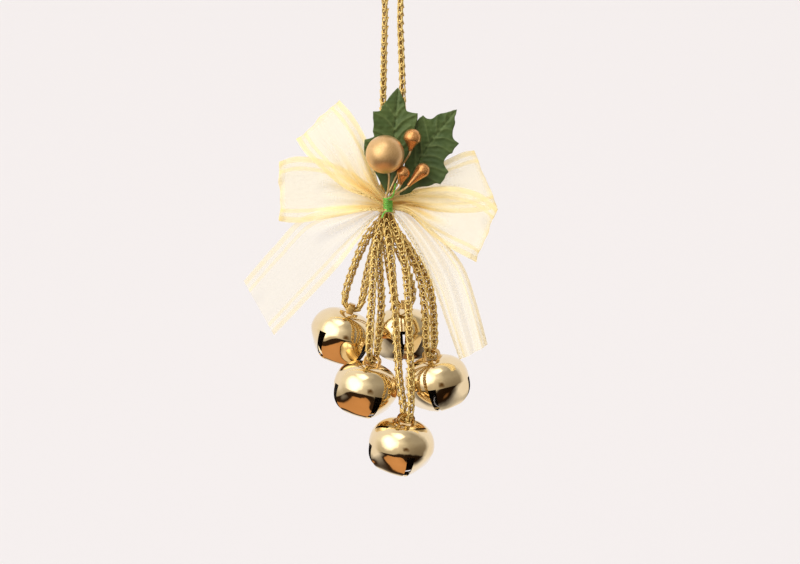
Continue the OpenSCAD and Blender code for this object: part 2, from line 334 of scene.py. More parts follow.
def mottled(name, scale, detail, dark, light, rough, stops=(0.3, 0.7), **sockets):
    """A metal or enamel whose tone and gloss vary a little."""
    n = Paint(name, **sockets)
    tone = n.noise(scale, detail)
    return n.shade(Base_Color=n.ramp(tone, (stops[0], dark), (stops[1], light)),
                   Roughness=n.span(tone, *rough))


def yarn_gold(name, dark, light):
    """Metallised yarn: thin bright streaks along each stitch, dark between."""
    n = Paint(name, Metallic=0.78)
    uv = n.coords("UV")
    streaks = n.noise(1.0, 2, vector=uv, stretch=(9, 1.1, 1))
    flecks = n.noise(1500, 2)
    slow = n.noise(110, 2)
    between_them = tuple((a + b) / 2 for a, b in zip(dark, light))
    base = n.ramp(streaks, (0.32, dark), (0.5, between_them), (0.66, light))
    base = n.mix(n.span(slow, 0.0, 0.35), base, dark)
    return n.shade(Base_Color=base, Roughness=n.span(flecks, 0.12, 0.30),
                   Normal=n.bump(streaks, 0.5, 0.0001))


def polished_gold():
    n = Paint("polished_gold", Metallic=1.0)
    cloud = n.noise(120, 3)
    fine = n.noise(2600, 3)
    base = n.ramp(cloud, (0.35, (0.90, 0.72, 0.43)), (0.65, (0.95, 0.79, 0.51)))
    rough = n.math("ADD", n.span(cloud, 0.03, 0.07), n.span(fine, 0.0, 0.03))
    normal = n.bump(n.noise(230, 2), 0.12, 0.0003)
    return n.shade(Base_Color=base, Roughness=rough, Normal=n.bump(fine, 0.04, 0.00003, normal))


def steel():
    n = Paint("steel_ball", Metallic=1.0)
    return n.shade(Base_Color=n.ramp(n.noise(500), (0.3, (0.32, 0.31, 0.30)), (0.7, (0.55, 0.54, 0.52))),
                   Roughness=n.span(n.noise(900), 0.18, 0.36))


def satin_bead(name, dark, light, rough):
    n = Paint(name, Metallic=0.85, Coat_Weight=0.3, Coat_Roughness=0.22)
    flakes = n.noise(4200, 2)
    cloud = n.noise(180, 3)
    base = n.ramp(flakes, (0.35, dark), (0.65, light))
    base = n.mix(n.span(cloud, 0.0, 0.35), base, dark)
    return n.shade(Base_Color=base, Roughness=n.span(flakes, rough - 0.06, rough + 0.08),
                   Normal=n.bump(flakes, 0.12, 0.00004))


def leaf_cloth():
    n = Paint("leaf_cloth", Sheen_Weight=0.25, Sheen_Roughness=0.4, Specular_IOR_Level=0.35)
    cloud = n.noise(150, 4)
    base = n.ramp(cloud, (0.3, (0.028, 0.052, 0.010)), (0.7, (0.062, 0.092, 0.022)))
    base = n.mix(n.math("MULTIPLY", n.attribute("vein"), 0.8), base, (0.105, 0.14, 0.045))
    threads = []
    for direction in "XZ":
        wave = n.add("ShaderNodeTexWave", wave_type="BANDS", bands_direction=direction)
        n.put(wave, "Vector", n.coords())
        n.put(wave, "Scale", 620)
        threads.append(wave.outputs["Fac"])
    cloth = n.math("ADD", *threads)
    return n.shade(Base_Color=base, Roughness=n.span(cloud, 0.5, 0.68),
                   Normal=n.bump(cloth, 0.25, 0.00008))


# Places of the satin stripes across the ribbon, from its middle, in mm
STRIPE_BANDS = ((9.9, 11.9), (6.9, 8.3))


def organza():
    """Sheer cloth with satin stripes: UV is (mm from the middle, mm along), and
    the gather attribute says how many times the cloth is drawn together."""
    n = Paint("organza", Roughness=0.42, Sheen_Weight=0.3, Sheen_Roughness=0.35)
    uv = n.coords("UV")
    # the distance from the middle, which wavers a little along the ribbon
    wobble = n.math("SUBTRACT", n.noise(0.35, 2, vector=uv, stretch=(0.2, 1, 1)), 0.5)
    out = n.math("ADD", n.math("ABSOLUTE", n.axes(uv)[0]), n.math("MULTIPLY", wobble, 0.5))
    bands = []
    for low, high in STRIPE_BANDS:
        off = n.math("ABSOLUTE", n.math("SUBTRACT", out, (low + high) / 2))
        band = n.math("SUBTRACT", (high - low) / 2 + 0.25, off)
        bands.append(n.math("MULTIPLY", band, 1.7, clamp=True))
    patchy = n.span(n.noise(0.5, 2, vector=uv, stretch=(1, 0.35, 1)), 0.35, 1.15)
    stripe = n.math("MULTIPLY", n.math("MAXIMUM", *bands), patchy)
    gather = n.attribute("gather")
    threads = n.noise(1.6, 2, vector=uv, stretch=(2.4, 0.12, 1))
    weft = n.noise(1.6, 2, vector=uv, stretch=(0.12, 2.4, 1))
    weave = n.math("MULTIPLY", n.math("ADD", threads, weft), 0.5)
    cover = n.math("ADD", n.span(weave, 0.10, 0.38), n.math("MULTIPLY", stripe, 0.38))
    cover = n.math("ADD", cover, n.math("MULTIPLY", gather, 0.55))
    # specks of glitter on the selvedges near the knot
    place = n.math("MULTIPLY", n.attribute("near_knot"), n.math("GREATER_THAN", out, 8.2))
    speck = n.math("MULTIPLY", n.math("GREATER_THAN", n.noise(1.5, 1, vector=uv), 0.57), place)
    cover = n.math("ADD", cover, n.math("MULTIPLY", speck, 0.5))
    warm = n.mix(gather, (0.96, 0.86, 0.54), (0.93, 0.73, 0.28))
    tone = n.mix(n.math("MULTIPLY", stripe, 0.8), warm, (0.92, 0.74, 0.33))
    shine = n.noise(2.5, 3, vector=uv, stretch=(1, 0.4, 1))
    tone = n.mix(n.span(shine, 0.0, 0.3), tone, (0.98, 0.92, 0.74))
    tone = n.mix(n.math("MULTIPLY", speck, 0.9), tone, (0.34, 0.24, 0.05))
    n.shade(Base_Color=tone, Roughness=n.span(stripe, 0.5, 0.3), Normal=n.bump(weave, 0.35, 0.0003))
    through = n.add("ShaderNodeBsdfTranslucent")
    n.put(through, "Color", tone)
    cloth = n.blend(0.45, n.shader.outputs[0], through.outputs[0])
    clear = n.add("ShaderNodeBsdfTransparent").outputs[0]
    n.put(n.out, "Surface", n.blend(n.math("MINIMUM", cover, 0.93), clear, cloth))
    return n.owner


CORD_GOLD = yarn_gold("gold_cord_yarn", (0.62, 0.34, 0.05), (1.0, 0.89, 0.44))
# the core is the same yarn, painted darker as painted shade between the stitches
CORE_SHADE_GOLD = yarn_gold("gold_cord_core_shade", (0.22, 0.10, 0.02), (0.50, 0.30, 0.08))
BELL_GOLD = polished_gold()
# the lug is of the shell's metal, painted a deeper gold as painted shade on the strap
LUG_SHADED_GOLD = mottled("lug_shaded_gold", 400, 3, (0.55, 0.34, 0.11), (0.74, 0.50, 0.20), (0.14, 0.26),
                   stops=(0.35, 0.65), Metallic=1.0)
# the inside of a shell is dull, and painted near black as painted shade in the hollow
BELL_INSIDE_SHADE = mottled("bell_inside_shade", 300, 4, (0.035, 0.022, 0.012), (0.075, 0.048, 0.022), (0.5, 0.7),
                      Metallic=0.6)
STEEL = steel()
PEARL = satin_bead("pearl_paint", (0.62, 0.36, 0.13), (0.90, 0.62, 0.32), 0.36)
BERRY = satin_bead("berry_paint", (0.60, 0.26, 0.07), (0.90, 0.48, 0.19), 0.25)
LEAF = leaf_cloth()
WIRE = mottled("wire_enamel", 700, 2, (0.07, 0.33, 0.03), (0.20, 0.56, 0.08), (0.22, 0.36),
               Metallic=0.35, Coat_Weight=0.4, Coat_Roughness=0.12)
STEM = mottled("stem_gold", 800, 2, (0.62, 0.40, 0.16), (0.90, 0.70, 0.38), (0.28, 0.42), Metallic=0.7)
ORGANZA = organza()


# ---- Cords -----------------------------------------------------------------
CORD_D = 2.5
# Columns of stitches round a cord, and the distance from stitch to stitch
WALES, PITCH = 3, 3.3
# Radii of the yarn in a stitch and of the yarn down the middle
YARN_R, CORE_R = 0.30, 0.34
# How far the hanging loop and the slack bell cords open out past CORD_D
LOOP_OPEN, BELL_OPEN, BUNDLE_OPEN = 1.15, 1.46, 0.28
# The cords are squeezed where the binding holds them
BINDING_TOP, BINDING_BOTTOM = -91, -97.6
# Just below it the bell cords are slackest, and fill the bundle
BUNDLE_Z = -107


def squeeze(z):
    """How much a cord is pressed together at a height."""
    r = 0.8 + 0.06 * np.maximum(z - BINDING_TOP, BINDING_BOTTOM - z)
    return np.minimum(CORD_D / 2, r) / (CORD_D / 2)


def knit(name, route, ref, seed, open_by, lug_at=None):
    """A knitted cord: columns of teardrop stitches round the line, each stitch
    coming out from under the head of the one before."""
    rng = random.Random(seed)
    line = smooth_line(route, 0.3)
    side, up = frames(line, ref)
    along = lengths_along(line)
    total = along[-1]
    around = np.arange(16) * math.pi / 8
    parts = Parts()
    twist = rng.uniform(-1, 1) * 0.03
    # slack cord opens out; it closes again in the lug and at the neck
    opened = np.full(len(line), open_by)
    if lug_at is not None:
        opened += (1 - open_by) * np.exp(-(np.linalg.norm(line - lug_at, axis=1) / 5) ** 4)
        opened += BUNDLE_OPEN * np.exp(-((line[:, 2] - BUNDLE_Z) / 7) ** 2)
    for wale in range(WALES):
        count = int(total / PITCH) + 1
        for i in range(count):
            start = (i + (wale * 0.5) % 1 + 0.15 * wale / WALES) * PITCH + rng.uniform(-0.15, 0.15)
            length = PITCH * rng.uniform(1.38, 1.5)
            width = 1.55 * rng.uniform(0.9, 1.1) * open_by ** 0.5
            # the first and last stitches are cut off inside the binding
            s = np.clip(start + length / 2 * np.cos(around), 0, total)
            # teardrop: wide at the head, narrow at the foot
            v = width / 2 * np.sin(around) * (1 + 0.35 * np.cos(around))
            r = 0.84 + 0.17 * np.cos(around) + 0.04 * np.cos(2 * around)
            at, a, b = (np.stack([np.interp(s, along, v3[:, k]) for k in range(3)], 1)
                        for v3 in (line, side, up))
            a, b = unit(a), unit(b)
            angle = 2 * math.pi * wale / WALES + twist * s + rng.uniform(-0.12, 0.12) + v / 0.95
            shrink = squeeze(at[:, 2])
            loose = r * shrink * np.interp(s, along, opened)
            ring = at + loose[:, None] * (np.cos(angle)[:, None] * a + np.sin(angle)[:, None] * b)
            outward = unit(ring - at)
            parts.tube(ring, YARN_R * shrink, 6, outward, closed=True)
    # the yarn that runs down inside, seen through the stitches, painted dark as painted shade between
    # them
    stitches = len(parts.faces)
    parts.tube(line, CORE_R * squeeze(line[:, 2]), 6, ref)
    obj = parts.object(name)
    paint_faces(obj, CORD_GOLD, CORE_SHADE_GOLD, np.arange(len(obj.data.polygons)) >= stitches)
    return obj, line


# The routes of the CAD's cords, each carried on into the binding
HANGING_ROUTE = [
    (-3, 2.6, -94), (-3.6, 2.6, -90.9), (-4.1, 2, -80), (-3.9, 0.6, -58), (-3.4, 0, -36),
    (-3.1, 0, -15.5), (-5.2, 0, -4), (-3.7, 0, -0.2), (0, 0, 1.25), (3.7, 0, -0.2),
    (5.2, 0, -4), (3.1, 0, -15.5), (3.7, 0.4, -56), (2.6, 2, -80), (-0.8, 2.6, -90.9),
    (-1.6, 2.6, -94)]
CORD_ROUTES = {
    "left": ((0, 1, 0), [
        (-3.8, 3.6, -97), (-4.2, 3.8, -98.8), (-6.6, 4.2, -102), (-11.2, 4.8, -109), (-15.4, 5.6, -119),
        (-18.4, 6, -128.5), (-18.5, 6, -132.8), (-16.4, 6, -134.8), (-13.6, 6, -134.6),
        (-12, 6, -131.6), (-10, 5.8, -121), (-7, 5.6, -110), (-5.2, 5.8, -104), (-4.2, 5.6, -98.8),
        (-3.9, 5.2, -97)]),
    "lower_left": ((-0.9, 0.44, 0), [
        (-3.9, 0.6, -97), (-4.2, 0.2, -98.8), (-4.6, -0.8, -103), (-6.8, -3, -111), (-8.2, -8.2, -132),
        (-9.1, -12.2, -148), (-8.8, -10.8, -153.3), (-7.9, -8.5, -154.3), (-6.7, -6.4, -153.3),
        (-5.9, -5.5, -149.5), (-4.4, -3.6, -132), (-5.4, -0.4, -112), (-5.2, 1.6, -103),
        (-4.2, 2, -98.8), (-3.9, 2, -97)]),
    "right": ((-0.9, 0.44, 0), [
        (-0.8, 2, -97), (-0.6, 2, -98.8), (0.4, 1.6, -103), (4, 0.6, -109), (10.2, -1.8, -122),
        (12.4, -5.4, -136), (12.7, -7.5, -147.5), (13.7, -6.1, -151.7), (14.8, -3.8, -152.1),
        (15.5, -1.9, -150.8), (15.9, -0.9, -146.5), (13.6, 0.8, -124), (5.4, 3.2, -110),
        (0.4, 4.2, -103), (-0.6, 3.8, -98.8), (-0.8, 3.6, -97)]),
    "bottom": ((0.9, 0.44, 0), [
        (-2.4, 0.6, -97), (-2.4, 0.2, -98.8), (-2.2, -1.4, -103), (-1, -3.8, -112), (0.6, -10.4, -135),
        (2.4, -14.9, -160), (3.9, -14.8, -170.5), (4.1, -15.2, -174.1), (4.9, -17, -175.8),
        (6, -19.4, -175.6), (6.6, -20.8, -172.4), (6.4, -15.8, -150), (4.6, -5.6, -117),
        (1.4, -1.6, -104), (-0.6, 0.2, -98.8), (-0.8, 0.6, -97)]),
    "back": ((0, 1, 0.2), [
        (-2.4, 3.6, -97), (-2.4, 3.8, -98.8), (-2.6, 4.6, -103), (-2.2, 7.8, -112), (-1, 14, -122),
        (0.5, 18.2, -129), (1.8, 18.5, -133.3), (4.3, 18.4, -134.2), (6.8, 18.5, -133.3),
        (7.6, 18, -128.6), (5.4, 13.4, -119.5), (2, 9.4, -111.5), (-1, 7, -103.5), (-2.4, 5.6, -98.8),
        (-2.4, 5.2, -97)]),
}
# Lengths of the cords from the binding round to the binding, in mm
HANGING_LENGTH = 198
CORD_LENGTHS = {"left": 84, "lower_left": 121, "right": 122, "bottom": 168, "back": 86}

LUG_HOLES = {"left": (-16.4, 6, -134.8), "lower_left": (-7.9, -8.5, -154.3),
             "right": (14.8, -3.8, -152.1), "bottom": (4.9, -17, -175.8), "back": (4.3, 18.4, -134.2)}


def finish_cord(piece, line, body, node, exit_at, length):
    finish_piece(piece, body, "gold_cord", CORD_GOLD, node)


finish_cord(*knit("hanging_loop_cord", HANGING_ROUTE, (0, 1, 0), 1, LOOP_OPEN),
            "root", "hanging_loop", HANGING_ROUTE[0], HANGING_LENGTH)
for number, (bell, (ref, route)) in enumerate(CORD_ROUTES.items()):
    finish_cord(*knit(bell + "_bell_cord", route, ref, 10 + number, BELL_OPEN, LUG_HOLES[bell]),
                bell + "_strands", bell + "_cord", route[0], CORD_LENGTHS[bell])


# ---- Bells -----------------------------------------------------------------
BELL_R, BELL_HALF_H, SHELL_T = 12.5, 10.5, 0.5
SLOT_TOP, SLOT_TOP_W, SLOT_POLE_W = 0.6, 3.2, 1.8
CROWN_DIP, CROWN_DIP_R, CROWN_DROP, CENTRE_DROP = 1.0, 5.0, 1.55, 11.05
LUG_W, LUG_T, LUG_INNER_W, LUG_RISE = 2.6, 0.6, 5.4, 1.85
# Each bell: tilt about X and Y, turn of the lug's hole, turn of the slots
BELLS = {
    "left": ((4, 19.4), 0, -35), "lower_left": ((8, 14), 66, 27), "right": ((10, -11.7), 66, -12),
    "bottom": ((16, 9.4), -64, 20), "back": ((-6, 0), 0, -5)}


def bell_place(hole, tilt):
    """The placement of a bell made with its lug hole at the origin."""
    x, y = (math.radians(t) for t in tilt)
    return Matrix.Translation(hole) @ Matrix.Rotation(y, 4, "Y") @ Matrix.Rotation(x, 4, "X")


def placed(points, matrix):
    m = np.array(matrix, float)
    return np.asarray(points, float) @ m[:3, :3].T + m[:3, 3]


def profile(inset):
    """Radius and height down the outside from the crown to the pole."""
    t = np.radians(np.linspace(90, -90, 721))
    r = (BELL_R - inset) * np.abs(np.cos(t)) ** 0.8
    z = (BELL_HALF_H - inset) * np.sign(np.sin(t)) * np.abs(np.sin(t)) ** 0.8
    dip = CROWN_DIP * (1 - np.clip(r / CROWN_DIP_R, 0, 1) ** 2) ** 2
    return np.stack([r, z - np.where(z > 0, dip, 0)], 1)


def half_slot(z):
    """Half the slot's width at a height."""
    low = -0.8 * BELL_HALF_H
    f = np.clip((z - SLOT_TOP) / (low - SLOT_TOP), 0, 1)
    return (SLOT_TOP_W + f * (SLOT_POLE_W - SLOT_TOP_W)) / 2


PETAL_COLS, SLOT_COLS = 26, 4
# How nearly flat the petals are pressed
PRESSED = 0.95


def shell_grid(inset, turn, dent):
    """Rows of points for one skin of the shell: closed rings down to the slots'
    tops, then the four petals' rows."""
    curve = profile(inset)
    split = int(np.argmin(np.abs(curve[:, 1] - SLOT_TOP)))
    upper = respaced(curve[: split + 1], 0.45)
    # the petals end where the slots meet round the pole
    narrow = curve[:, 0] < half_slot(curve[:, 1]) * math.sqrt(2) * 1.03
    tip = int(np.argmax(narrow & (curve[:, 1] < 0)))
    lower = respaced(curve[split:tip], 0.35)
    columns = []
    a = math.asin(half_slot(SLOT_TOP) / upper[-1][0])
    for k in range(4):
        start = math.pi / 2 * k + a
        stop = math.pi / 2 * (k + 1) - a
        columns += list(np.linspace(start, stop, PETAL_COLS))
        columns += list(np.linspace(stop, stop + 2 * a, SLOT_COLS + 1)[1:-1])
    columns = np.array(columns)
    phase = math.radians(turn)

    def spread(r, z, angles, petal=0.0):
        wave = dent[0] * np.cos(2 * angles + dent[1]) + dent[2] * np.cos(3 * angles + dent[3])
        rr = r * (1 + wave) + petal
        x, y = rr * np.cos(angles + phase), rr * np.sin(angles + phase)
        return np.stack([x, y, np.full_like(angles, z)], -1)

    rings = [spread(r, z, columns) for r, z in upper[1:]]
    petals = []
    for k in range(4):
        rows = []
        lean = dent[4 + k]
        for r, z in lower:
            a = math.asin(min(0.999, half_slot(z) / r))
            angles = np.linspace(math.pi / 2 * k + a, math.pi / 2 * (k + 1) - a, PETAL_COLS)
            f = np.clip((SLOT_TOP - z) / (BELL_HALF_H + SLOT_TOP), 0, 1)
            # the petals are pressed towards flat between the slots
            off = np.linspace(-math.pi / 4, math.pi / 4, PETAL_COLS)
            flat = math.cos(math.pi / 4) / np.cos(off) - 1
            press = PRESSED * (3 * f ** 2 - 2 * f ** 3) ** 0.7 * (1 - 0.75 * f ** 5)
            rows.append(spread(r * (1 + press * flat), z, angles, lean * math.sin(math.pi * f) ** 2))
        petals.append(np.array(rows))
    crown = np.array([0, 0, upper[0][1]])
    return crown, np.array(rings), petals


def shell_mesh(turn, seed):
    """Points and faces of a shell, the inner skin's faces first, and their number."""
    rng = random.Random(seed)
    # out of round by two and by three lobes, then each petal's lean
    dent = [0.004 * rng.uniform(-1, 1), rng.uniform(0, 6), 0.003 * rng.uniform(-1, 1), rng.uniform(0, 6)]
    dent += [rng.uniform(-0.12, 0.12) for _ in range(4)]
    verts, skins = [], []
    for inset in (0, SHELL_T):
        crown, rings, petals = shell_grid(inset, turn, dent)
        base = len(verts)
        rows, cols = rings.shape[:2]
        verts.append(crown)
        verts += list(rings.reshape(-1, 3))
        ring_at = lambda i, j, b=base, c=cols: b + 1 + i * c + j % c
        skin = [[ring_at(0, j + 1), ring_at(0, j), base] for j in range(cols)]
        for i in range(rows - 1):
            skin += [[ring_at(i, j), ring_at(i, j + 1), ring_at(i + 1, j + 1), ring_at(i + 1, j)]
                     for j in range(cols)]
        petal_index = []
        for k, petal in enumerate(petals):
            start = k * (PETAL_COLS + SLOT_COLS - 1)
            index = [[ring_at(rows - 1, start + j) for j in range(PETAL_COLS)]]
            for row in petal[1:]:
                index.append(list(range(len(verts), len(verts) + PETAL_COLS)))
                verts += list(row)
            for i in range(len(index) - 1):
                skin += [[index[i][j], index[i][j + 1], index[i + 1][j + 1], index[i + 1][j]]
                         for j in range(PETAL_COLS - 1)]
            petal_index.append(index)
        skins.append((skin, petal_index, [ring_at(rows - 1, j) for j in range(cols)]))
    outer, inner = skins
    # the outside's faces run clockwise as made, seen from outside
    faces = inner[0] + [f[::-1] for f in outer[0]]
    for k in range(4):
        po, pi = outer[1][k], inner[1][k]
        rows = min(len(po), len(pi))
        for j, flip in ((0, False), (PETAL_COLS - 1, True)):
            for i in range(rows - 1):
                f = [po[i][j], po[i + 1][j], pi[i + 1][j], pi[i][j]]
                faces.append(f[::-1] if flip else f)
        for j in range(PETAL_COLS - 1):
            faces.append([po[-1][j + 1], pi[-1][j + 1], pi[-1][j], po[-1][j]])
        start = k * (PETAL_COLS + SLOT_COLS - 1) + PETAL_COLS - 1
        cols = len(outer[2])
        for j in range(start, start + SLOT_COLS):
            a, b = j % cols, (j + 1) % cols
            faces.append([outer[2][b], inner[2][b], inner[2][a], outer[2][a]])
    return verts, faces, len(inner[0])


def lug_mesh(matrix, turn):
    """The strap: a rounded flat bar bent up through the crown and back."""
    inner, t = LUG_INNER_W / 2, LUG_T
    half = inner + t / 2
    low = -CROWN_DROP - SHELL_T - 0.4
    top = LUG_RISE + t / 2
    path = [(-half, low)]
    corner = 1.6
    for side, first in ((-1, math.pi), (1, math.pi / 2)):
        for a in first - np.arange(9) * math.pi / 16:
            path.append((side * (half - corner) + corner * math.cos(a),
                         top - corner + corner * math.sin(a)))
    path.append((half, low))
    path = respaced(np.array(path), 0.25)
    normal = np.gradient(path, axis=0)
    normal = unit(np.stack([-normal[:, 1], normal[:, 0]], 1))
    w, e = LUG_W / 2, 0.16
    section = []
    for sx, sy in ((1, 1), (-1, 1), (-1, -1), (1, -1)):
        for k in range(4):
            a = math.atan2(sy, sx) - math.pi / 4 + k * math.pi / 6
            section.append((sx * (w - e) + e * math.cos(a), sy * (t / 2 - e) + e * math.sin(a)))
    section = np.array(section)
    spin = math.radians(turn)
    rows = []
    for (y, z), (ny, nz) in zip(path, normal):
        x = section[:, 0]
        yy, zz = y + section[:, 1] * ny, z + section[:, 1] * nz
        rows.append(np.stack([x * math.cos(spin) - yy * math.sin(spin),
                              x * math.sin(spin) + yy * math.cos(spin), zz], 1))
    parts = Parts()
    points = placed(np.array(rows).reshape(-1, 3), matrix)
    parts.grid(points.reshape(len(rows), -1, 3), wrap=True, caps=True)
    return parts


for number, (bell, (tilt, lug_turn, slot_turn)) in enumerate(BELLS.items()):
    place = bell_place(LUG_HOLES[bell], tilt)
    verts, faces, inside = shell_mesh(slot_turn, 40 + number)
    centre = place @ Matrix.Translation((0, 0, -CENTRE_DROP))
    shell = make(bell + "_bell_shell", placed(verts, centre), faces)
    # the inner skin gets the painted shade, the outer skin the polished gold
    paint_faces(shell, BELL_GOLD, BELL_INSIDE_SHADE, np.arange(len(faces)) < inside)
    turn_outward(shell.data)
    bevel = shell.modifiers.new("edges", "BEVEL")
    bevel.width, bevel.segments, bevel.limit_method = 0.09 * MM, 2, "ANGLE"
    bevel.angle_limit = math.radians(40)
    bevel.harden_normals = True
    finish_piece(shell, bell + "_bell", "polished_gold", BELL_GOLD, bell + "_shell")
    strap = lug_mesh(place, lug_turn).object(bell + "_bell_lug")
    finish_piece(strap, bell + "_bell", "polished_gold", LUG_SHADED_GOLD, bell + "_lug")
    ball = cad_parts[bell + "_pea"]
    ball.data.materials.clear()
    ball.data.materials.append(STEEL)


# ---- Binding, stems and green wire -----------------------------------------
def thread_binding():
    """Gold thread wound round the cords: a rounded oblong of close turns."""
    centre, half = np.array([-2.4, 3.0]), np.array([2.9, 3.7])
    turns, r = 8, 0.44
    low, high = BINDING_BOTTOM + r, BINDING_TOP - r
    t = np.linspace(0, turns, turns * 40 + 1)
    a = 2 * math.pi * t
    x = centre[0] + half[0] * np.sign(np.cos(a)) * np.abs(np.cos(a)) ** 0.7
    y = centre[1] + half[1] * np.sign(np.sin(a)) * np.abs(np.sin(a)) ** 0.7
    parts = Parts()
    parts.tube(np.stack([x, y, low + (high - low) * t / turns], 1), r, 8, (0, 0, 1))
    # the bundle of cords inside
    steps = np.linspace(0, 2 * math.pi, 40, endpoint=False)
    rows = []
    for z, f in ((low - 0.2, 0.75), (low + 0.2, 0.95), (high - 0.2, 0.95), (high + 0.2, 0.75)):
        x, y = centre[0] + f * half[0] * np.cos(steps), centre[1] + f * half[1] * np.sin(steps)
        rows.append(np.stack([x, y, np.full_like(steps, z)], 1))
    parts.grid(np.array(rows), wrap=True, caps=True)
    return parts.object("cord_binding_thread")


finish_piece(thread_binding(), "root", "gold_thread", CORD_GOLD, "cord_binding")

WRAP_CENTRE = (-1.9, -7.2)
WRAP_TOP, WRAP_BOTTOM, WRAP_TURNS, WIRE_D, STEM_R = -91.6, -97, 6, 0.7, 0.4
STEM_RING_R = 0.86
WRAP_R = STEM_RING_R + STEM_R + WIRE_D / 2 + 0.05


def stem_line(route, number):
    """A stem's route, carried on into its place in the ring inside the green wire."""
    a = math.radians(60 * number)
    x, y = WRAP_CENTRE[0] + STEM_RING_R * math.cos(a), WRAP_CENTRE[1] + STEM_RING_R * math.sin(a)
    return smooth_line([*route, (x, y, WRAP_TOP + 0.6), (x, y, WRAP_BOTTOM - 0.4)], 0.5)


def stems(name, routes, slot, material, replaced):
    parts = Parts()
    for route, number in routes:
        parts.tube(stem_line(route, number), STEM_R, 12, (1, 0.2, 0))
    finish_piece(parts.object(name), "root", slot, material, replaced)


stems("leaf_wires", [([(0.4, -6.35, -72), (-2, -6.3, -88)], 2),
                     ([(12, -5.15, -75), (2.4, -5.1, -88.6)], 1)], "green_wire", WIRE, "leaf_stems")

turn = np.arange(WRAP_TURNS * 24 + 1) / 24
coil = np.stack([WRAP_CENTRE[0] + WRAP_R * np.cos(2 * math.pi * turn - math.radians(120)),
                 WRAP_CENTRE[1] + WRAP_R * np.sin(2 * math.pi * turn - math.radians(120)),
                 WRAP_BOTTOM + WIRE_D / 2 + turn * (WRAP_TOP - WRAP_BOTTOM - WIRE_D) / WRAP_TURNS], 1)
# the turns lie askew, lower on the right, and the bare wire leaves gaps between them
askew = 0.36 * np.clip(np.minimum(turn, WRAP_TURNS - turn) * 2, 0, 1)
coil[:, 2] -= askew * (coil[:, 0] - WRAP_CENTRE[0])
wire = Parts()
wire.tube(np.array([*smooth_line([(-4.2, -9, -99.2), (-3.6, -9.1, -97.6), coil[0]], 0.4)[:-1], *coil,
                    *smooth_line([coil[-1], (-0.2, -10.4, -91), (1, -12.6, -86)], 0.4)[1:]]),
          WIRE_D / 2 - 0.05, 10, (0.1, 0, 1))
finish_piece(wire.object("green_wire_wrap"), "root", "green_wire", WIRE, "green_wire")


# ---- Pearl and berries -----------------------------------------------------
def lathe(parts, curve, start, towards, steps=72):
    """Turns (distance along, radius) points round the line from start towards."""
    start = np.array(start, float)
    axis = unit(np.array(towards, float) - start)
    side = unit(np.cross(axis, (0.3, 1, 0.1)))
    other = np.cross(axis, side)
    a = np.linspace(0, 2 * math.pi, steps, endpoint=False)
    ring = np.cos(a)[:, None] * side + np.sin(a)[:, None] * other
    rows = np.array([start + axis * d + ring * max(r, 0.0) for d, r in curve])
    base = len(parts.verts)
    parts.grid(rows[1:-1], wrap=True)
    last = len(parts.verts)
    parts.verts += [rows[0][0].tolist(), rows[-1][0].tolist()]
    parts.uvs += [[0, 0], [0, 0]]
    for k in range(steps):
        n = (k + 1) % steps
        parts.faces.append([base + n, base + k, last])
        tail = last - steps
        parts.faces.append([tail + k, tail + n, last + 1])


PEARL_CENTRE, PEARL_R, PEARL_BORE_END = (-3, -15.4, -75), 7.35, (-1.4, -14.2, -83.4)
arc = np.radians(np.linspace(-90, 84, 60))
curve = [(PEARL_R * math.sin(a), PEARL_R * math.cos(a)) for a in arc]
# the pearl's skin turns in round its stem
curve += [(PEARL_R * 0.985, 0.55), (PEARL_R * 0.96, 0.46), (PEARL_R * 0.80, 0.44), (PEARL_R * 0.78, 0)]
pearl = Parts()
lathe(pearl, curve, PEARL_CENTRE, PEARL_BORE_END, 96)
finish_piece(pearl.object("pearl_bead"), "root", "pearl", PEARL, "pearl")

direction = unit(np.array(PEARL_BORE_END, float) - np.array(PEARL_CENTRE, float))
stems("pearl_wire", [([tuple(np.array(PEARL_CENTRE) + 5.0 * direction),
                       tuple(np.array(PEARL_CENTRE) + 8.4 * direction), (-1.8, -10.6, -88.4)], 4)],
      "gold_wire", STEM, "pearl_stem")

# Each berry: centre of its round head, point of its drop, radius, its stem's
# route and place in the ring of stems
BERRIES = {
    "upper_berry": ((7.4, -11.6, -68.6), (6.6, -11.2, -73.6), 3.4,
                    [(3, -8.6, -80), (-1.4, -8.3, -89)], 3),
    "middle_berry": ((3.9, -11.6, -82), (2.8, -11.2, -86.4), 2.6, [(0.6, -9.8, -89.4)], 5),
    "right_berry": ((11.3, -11, -81), (5.8, -10.6, -86.9), 2.8, [(1.4, -8.4, -89.8)], 0),
}
wires = []
for name, (head, point, r, route, number) in BERRIES.items():
    head, point = np.array(head), np.array(point)
    reach = float(np.linalg.norm(point - head))
    curve = [(r * math.sin(a), r * math.cos(a)) for a in np.radians(np.linspace(-90, 20, 30))]
    d0, r0 = curve[-1]
    for f in np.linspace(0.05, 1, 24):
        # a drop's flank: it leaves the round end smoothly and narrows to the point
        width = (1 - f) ** 1.6 * (r0 - 0.75) + 0.75 + 0.25 * r0 * f * (1 - f) ** 2
        curve.append((d0 + f * (reach - d0), width))
    curve += [(reach + 0.05, 0.6), (reach - 0.3, 0.42), (reach - 2.2, 0.42), (reach - 2.3, 0)]
    bead = Parts()
    lathe(bead, curve, head, point)
    finish_piece(bead.object(name + "_bead"), "root", "berry", BERRY, name)
    d = (point - head) / reach
    wires.append(([tuple(point - 2 * d), tuple(point + 0.8 * d), *route], number))
stems("berry_wires", wires, "gold_wire", STEM, "berry_stems")


